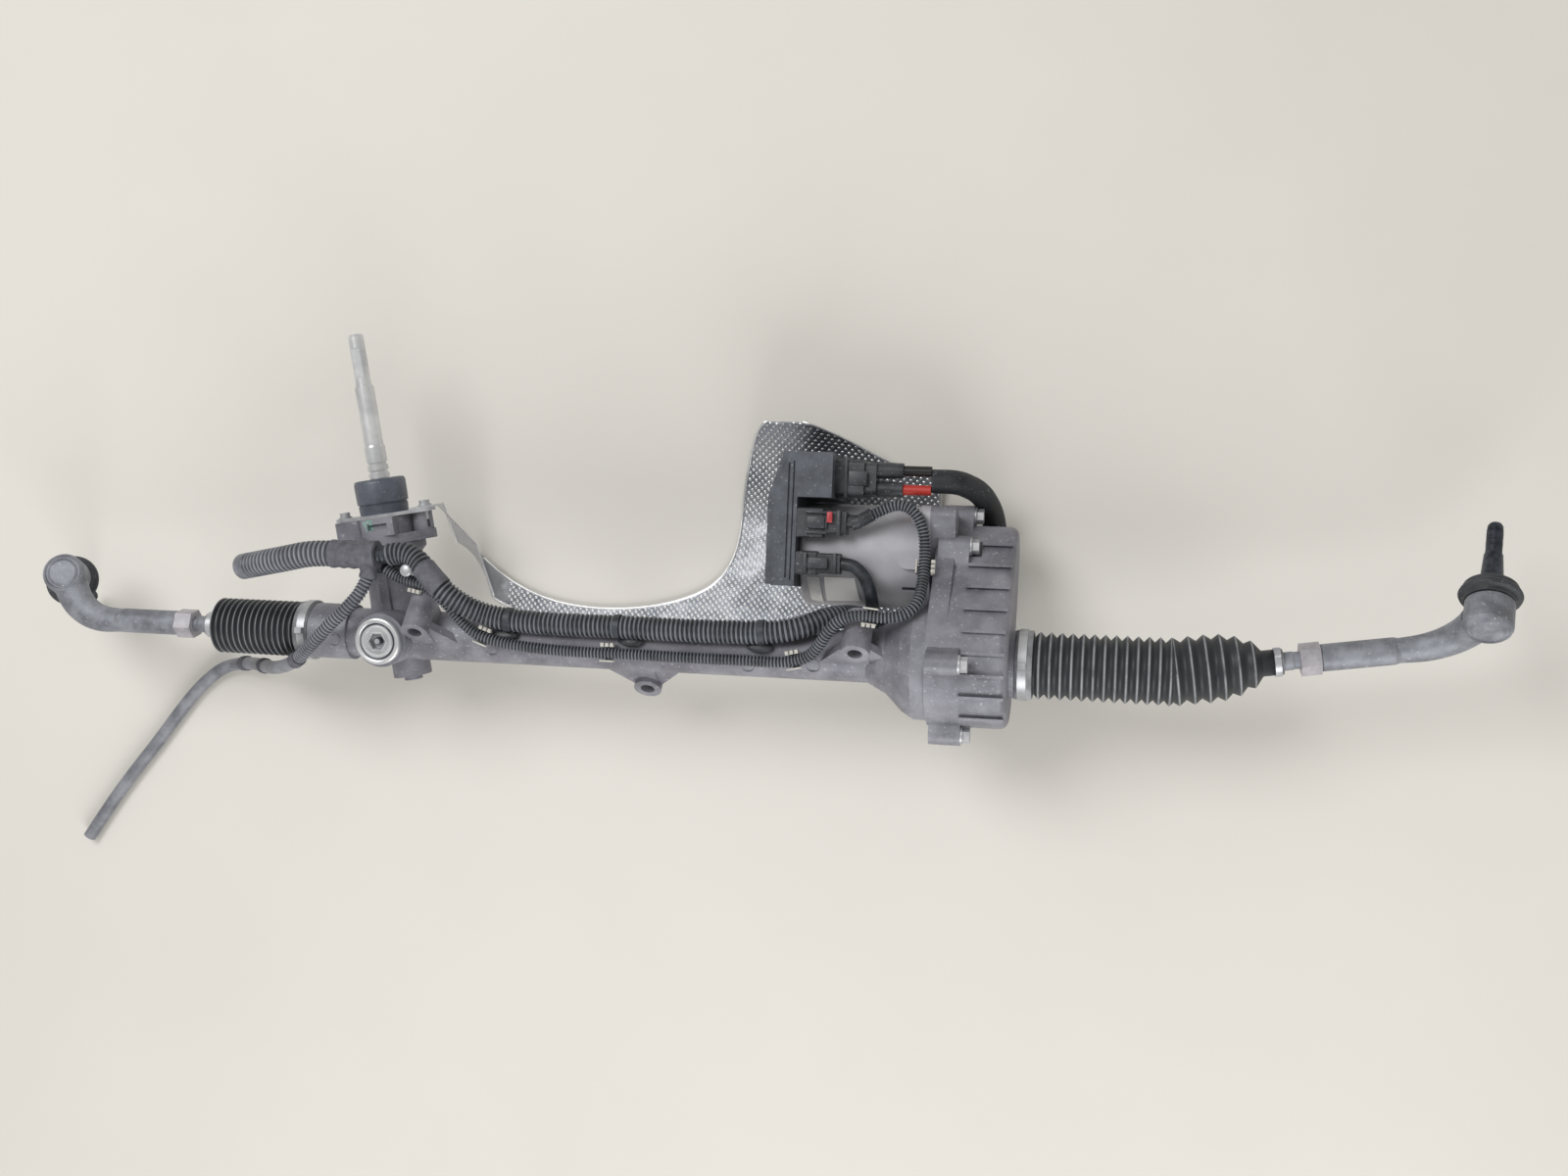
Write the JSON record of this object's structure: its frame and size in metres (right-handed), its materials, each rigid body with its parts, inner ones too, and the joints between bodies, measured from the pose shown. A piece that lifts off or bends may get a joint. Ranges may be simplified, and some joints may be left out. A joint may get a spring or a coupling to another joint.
{
  "type": "steering rack",
  "caption": "Electric power steering rack: cast tube with bellows and tie rods, pinion tower, belt-driven ball nut beside a motor and control unit, heat shield and wiring.",
  "frame": {"origin": "centre of the seat face's bolt axis at mid length of the middle mounting bore's wall line: the middle bore's seat end", "axes": "+X along the rack toward the motor end, +Y the way the input shaft leans up, +Z toward the camera side, away from the heat shield"},
  "size_m": [1.2967, 0.4858, 0.1763],
  "materials": {
    "cast_aluminium": "satin",
    "motor_can": "satin",
    "ecu_plastic": "matte",
    "ecu_metal": "matte",
    "zinc_screws": "satin",
    "plug_zinc": "satin",
    "machined_steel": "polished",
    "bearing_steel": "polished",
    "spring_steel": "satin",
    "forged_steel": "matte",
    "sintered_alloy": "satin",
    "stator_copper": "satin",
    "seat_plastic": "satin",
    "board_green": "satin",
    "bellows_rubber": "matte",
    "plug_plastic": "matte",
    "wire_black": "matte",
    "clip_white": "satin",
    "foil_aluminium": "satin"
  },
  "bodies": {
    "housing": {"rack_housing": "cast_aluminium", "belt_cover": "cast_aluminium", "fasteners": "zinc_screws", "sensor_housing": "cast_aluminium", "clamp_plate": "zinc_screws", "dust_cap": "bellows_rubber", "torque_sensor": "board_green", "bearings": "bearing_steel", "pinion_end_cap": "plug_zinc", "yoke": "sintered_alloy", "yoke_spring": "spring_steel", "yoke_plug": "plug_zinc", "rack_bush": "seat_plastic", "drive_belt": "bellows_rubber", "motor_housing": "motor_can", "motor_stator": "stator_copper", "ecu_housing": "ecu_metal", "ecu_cover": "ecu_plastic", "circuit_board": "board_green", "power_plug": "plug_plastic", "power_wires": "wire_black", "signal_plug": "plug_plastic", "sensor_plug": "plug_plastic", "left_bellows": "bellows_rubber", "right_bellows": "bellows_rubber", "bellows_bands": "zinc_screws", "heat_shield": "foil_aluminium", "main_conduit": "wire_black", "power_sleeve": "wire_black", "signal_conduit": "wire_black", "sensor_lead": "wire_black", "conduit_stub": "wire_black", "loose_harness": "wire_black", "harness_junction": "plug_plastic", "harness_clips": "clip_white"},
    "rotor": {"motor_rotor": "machined_steel", "motor_pulley": "forged_steel"},
    "nut": {"ball_nut": "machined_steel", "nut_pulley": "forged_steel"},
    "rack": {"rack_bar": "machined_steel", "inner_sockets": "machined_steel"},
    "pinion": {"pinion": "machined_steel", "torsion_bar": "spring_steel"},
    "input": {"input_shaft": "machined_steel"},
    "left_seat": {"left_inner_seat": "seat_plastic"},
    "left_rod": {"left_tie_rod": "machined_steel", "left_lock_nut": "zinc_screws", "left_rod_end": "forged_steel", "left_rod_clip": "zinc_screws", "left_boot": "bellows_rubber"},
    "left_cup": {"left_outer_seat": "seat_plastic"},
    "left_stud": {"left_ball_stud": "machined_steel"},
    "right_seat": {"right_inner_seat": "seat_plastic"},
    "right_rod": {"right_tie_rod": "machined_steel", "right_lock_nut": "zinc_screws", "right_rod_end": "forged_steel", "right_rod_clip": "zinc_screws", "right_boot": "bellows_rubber"},
    "right_cup": {"right_outer_seat": "seat_plastic"},
    "right_stud": {"right_ball_stud": "machined_steel"}
  },
  "joints": [
    {"name": "motor_turn", "type": "hinge", "parent": "housing", "child": "rotor", "pos_m": [0.2, 0.12385, -0.02756], "axis": [1, 0, 0], "range_deg": [-4014.5, 17205]},
    {"name": "nut_turn", "type": "hinge", "parent": "housing", "child": "nut", "pos_m": [0.27, 0.03785, 0.01744], "axis": [1, 0, 0], "range_deg": [-1441, 6173]},
    {"name": "rack_slide", "type": "slide", "parent": "housing", "child": "rack", "axis": [1, 0, 0], "range_m": [-0.1201, 0.02801], "deforming": ["left_bellows", "right_bellows"]},
    {"name": "pinion_turn", "type": "hinge", "parent": "housing", "child": "pinion", "pos_m": [-0.227, 0.04027, 0.00026], "axis": [-0.1616, 0.9773, 0.1373], "range_deg": [-777, 182]},
    {"name": "column_twist", "type": "hinge", "parent": "pinion", "child": "input", "pos_m": [-0.227, 0.04027, 0.00026], "axis": [-0.1616, 0.9773, 0.1373], "range_deg": [-5, 5], "stiffness_Nm_per_rad": 100},
    {"name": "left_inner_sway", "type": "hinge", "parent": "rack", "child": "left_seat", "pos_m": [-0.323, 0.03785, 0.01744], "axis": [0, 0, 1], "range_deg": [-18, 18]},
    {"name": "left_inner_lift", "type": "hinge", "parent": "left_seat", "child": "left_rod", "pos_m": [-0.323, 0.03785, 0.01744], "axis": [0, 1, 0], "range_deg": [-18, 18]},
    {"name": "left_stud_tilt", "type": "hinge", "parent": "left_rod", "child": "left_cup", "pos_m": [-0.562, 0.07569, 0.00801], "axis": [-0.9511, 0.0748, 0.2998], "range_deg": [-20, 20], "deforming": ["left_boot"]},
    {"name": "left_stud_spin", "type": "hinge", "parent": "left_cup", "child": "left_stud", "pos_m": [-0.562, 0.07569, 0.00801], "axis": [-0.309, -0.2301, -0.9228], "continuous": true},
    {"name": "right_inner_sway", "type": "hinge", "parent": "rack", "child": "right_seat", "pos_m": [0.444, 0.03785, 0.01744], "axis": [0, 0, 1], "range_deg": [-26.5, 9.5]},
    {"name": "right_inner_lift", "type": "hinge", "parent": "right_seat", "child": "right_rod", "pos_m": [0.444, 0.03785, 0.01744], "axis": [-0.1478, 0.989, 0], "range_deg": [-18, 18]},
    {"name": "right_stud_tilt", "type": "hinge", "parent": "right_rod", "child": "right_cup", "pos_m": [0.67707, 0.0953, 0.04939], "axis": [0.9867, -0.0669, 0.1485], "range_deg": [-20, 20], "deforming": ["right_boot"]},
    {"name": "right_stud_spin", "type": "hinge", "parent": "right_cup", "child": "right_stud", "pos_m": [0.67707, 0.0953, 0.04939], "axis": [0.139, 0.8208, -0.554], "continuous": true}
  ],
  "couplings": [
    {"joint": "nut_turn", "follows": "motor_turn", "ratio": 0.3587},
    {"joint": "rack_slide", "follows": "motor_turn", "m_per_rad": -0.00039962},
    {"joint": "pinion_turn", "follows": "motor_turn", "ratio": -0.04507}
  ]
}
